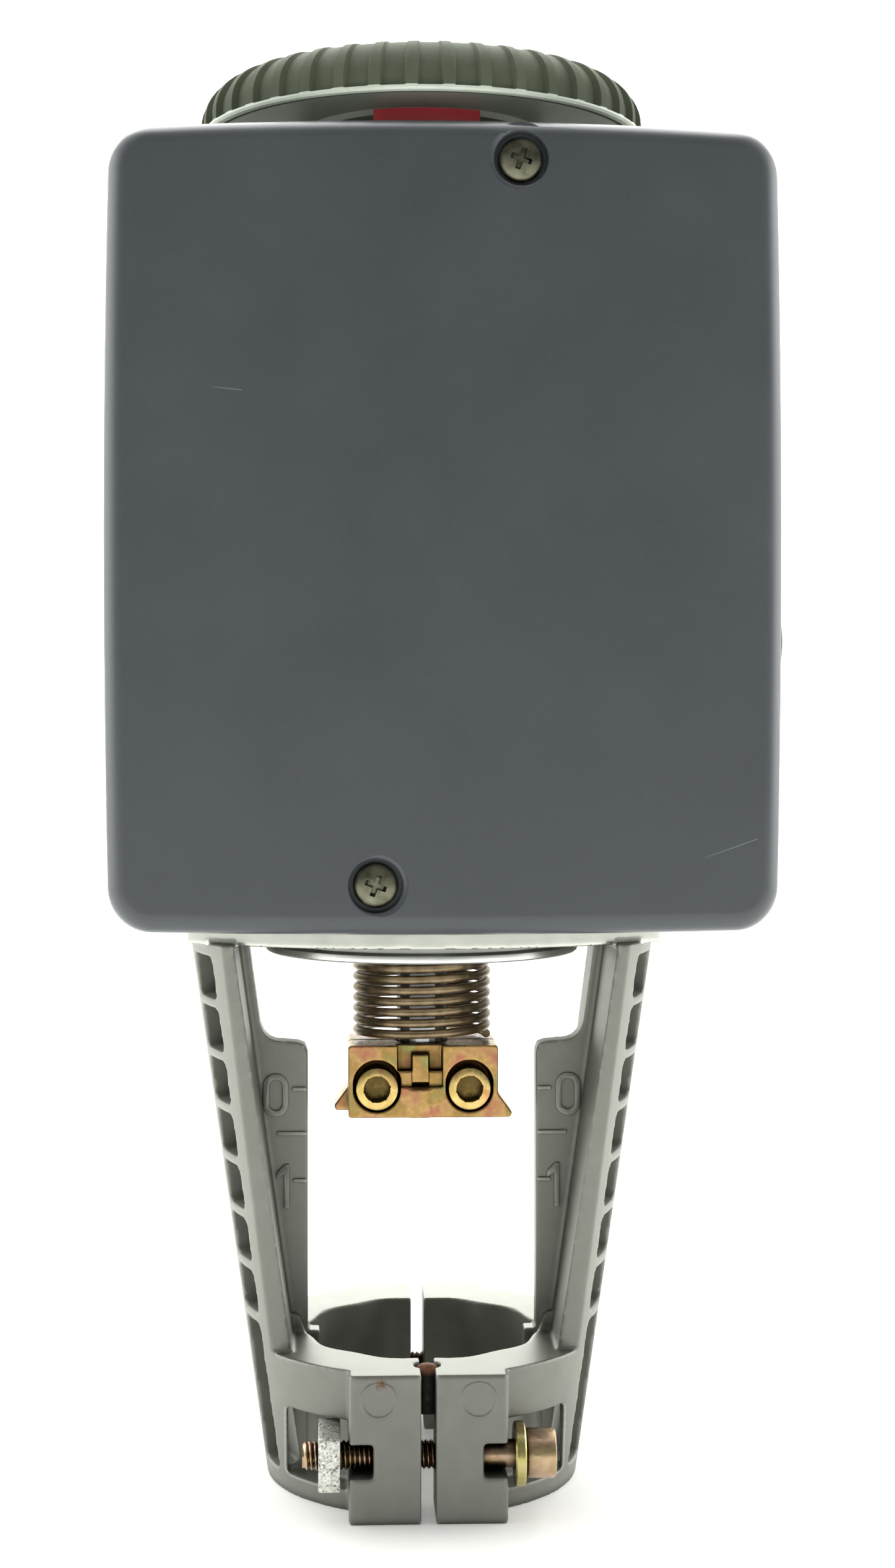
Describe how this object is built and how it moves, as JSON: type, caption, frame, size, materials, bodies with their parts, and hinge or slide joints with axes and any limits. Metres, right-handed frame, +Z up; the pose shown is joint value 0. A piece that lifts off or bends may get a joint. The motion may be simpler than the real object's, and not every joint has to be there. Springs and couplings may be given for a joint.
{
  "type": "motorised valve actuator head",
  "caption": "Electro-hydraulic valve actuator: boxed housing with a serrated manual adjuster on top, sprung stem with clamp coupling, and a two-legged bracket on a split clamp ring.",
  "frame": {"origin": "on the valve axis, at the underside of the clamp ring that sits on the valve neck", "axes": "+Z up along the stem, from the clamp ring to the adjuster knob; -Y to the front, out of the cover and the front clamp bolt; +X to the right"},
  "size_m": [0.1469, 0.155, 0.3],
  "materials": {
    "cast_aluminium": "die-cast, bead-blasted grey",
    "machined_aluminium": "turned and milled, satin",
    "bright_zinc": "turned steel, bright zinc plated",
    "yellow_zinc": "steel, yellow chromated zinc",
    "tempered_wire": "oil-tempered spring wire, brown",
    "bright_steel": "ground steel",
    "dull_zinc": "pan-head screws, dull olive zinc",
    "rusty_steel": "plain steel, rusted brown",
    "bronze": "sintered bronze",
    "copper_winding": "enamelled copper wire",
    "cover_plastic": "moulded, dark blue-grey, fine grain",
    "knob_plastic": "moulded, grey-green",
    "red_plastic": "moulded, red",
    "black_plastic": "moulded, black",
    "rubber": "moulded nitrile rubber",
    "circuit_board": "green solder mask on glass laminate",
    "terminal_plastic": "moulded, light grey"
  },
  "bodies": {
    "root": {"yoke_bracket": "cast_aluminium", "rear_housing": "cast_aluminium", "oil_reservoir": "machined_aluminium", "reservoir_lid": "machined_aluminium", "adjuster_housing": "machined_aluminium", "hydraulic_block": "machined_aluminium", "cylinder_cap": "bright_zinc", "front_clamp_nut": "bright_zinc", "rear_clamp_nut": "bright_zinc", "front_clamp_bolt": "yellow_zinc", "front_clamp_washer": "yellow_zinc", "rear_clamp_bolt": "yellow_zinc", "rear_clamp_washer": "yellow_zinc", "stem_spring": "tempered_wire", "return_spring": "tempered_wire", "piston": "bright_steel", "piston_lock_nut": "bright_steel", "thrust_bearing": "bright_steel", "base_screw_left": "bright_steel", "base_screw_right": "bright_steel", "pump_core": "bright_steel", "cover_screw_top": "dull_zinc", "cover_screw_bottom": "dull_zinc", "locating_pin": "rusty_steel", "stem_bush": "bronze", "pump_coil": "copper_winding", "position_sensor_coil": "copper_winding", "front_cover": "cover_plastic", "indicator_ring": "red_plastic", "dip_switch": "red_plastic", "cable_gland": "black_plastic", "cable_plug": "black_plastic", "valve_coil": "black_plastic", "cover_gasket": "rubber", "piston_seal": "rubber", "control_board": "circuit_board", "terminal_block_left": "terminal_plastic", "terminal_block_right": "terminal_plastic"},
    "stem": {"stem_rod": "bright_steel", "coupling_front": "yellow_zinc", "coupling_rear": "yellow_zinc", "coupling_screw_left": "yellow_zinc", "coupling_screw_right": "yellow_zinc", "pressure_cylinder": "bright_steel", "cylinder_nut": "bright_steel", "push_tube": "bright_steel", "spindle_nut": "bronze", "position_sensor_rod": "bright_steel"},
    "knob": {"adjuster_knob": "knob_plastic", "adjuster_spindle": "bright_steel", "knob_screw": "bright_steel", "crank_pin": "bright_steel"},
    "crank": {"crank_arm": "knob_plastic"},
    "grip": {"crank_grip": "black_plastic"},
    "pump_armature": {"pump_plunger": "bright_steel"},
    "bypass_plunger": {"valve_plunger": "bright_steel"},
    "slider_1": {"dip_slider_1": "terminal_plastic"},
    "slider_2": {"dip_slider_2": "terminal_plastic"}
  },
  "joints": [
    {"name": "knob_turn", "type": "hinge", "parent": "root", "child": "knob", "pos_m": [0, 0, 0.295], "axis": [0, 0, -1], "range_deg": [-360, 1080]},
    {"name": "stem_slide", "type": "slide", "parent": "root", "child": "stem", "axis": [0, 0, -1], "range_m": [-0.005, 0.015], "deforming": ["stem_spring", "return_spring"]},
    {"name": "crank_fold", "type": "hinge", "parent": "knob", "child": "crank", "pos_m": [0, 0.04, 0.2973], "axis": [-1, 0, 0], "range_deg": [0, 180]},
    {"name": "grip_spin", "type": "hinge", "parent": "crank", "child": "grip", "pos_m": [0, -0.015, 0.291], "axis": [0, 0, 1], "continuous": true},
    {"name": "pump_stroke", "type": "slide", "parent": "root", "child": "pump_armature", "axis": [0, 0, 1], "range_m": [0, 0.002], "stiffness_N_per_m": 400},
    {"name": "bypass_stroke", "type": "slide", "parent": "root", "child": "bypass_plunger", "axis": [0, 0, 1], "range_m": [0, 0.0015], "stiffness_N_per_m": 300},
    {"name": "dip_1_slide", "type": "slide", "parent": "root", "child": "slider_1", "axis": [1, 0, 0], "range_m": [0, 0.002]},
    {"name": "dip_2_slide", "type": "slide", "parent": "root", "child": "slider_2", "axis": [1, 0, 0], "range_m": [0, 0.002]}
  ],
  "couplings": [
    {"joint": "knob_turn", "follows": "stem_slide", "rad_per_m": 1256.6}
  ]
}
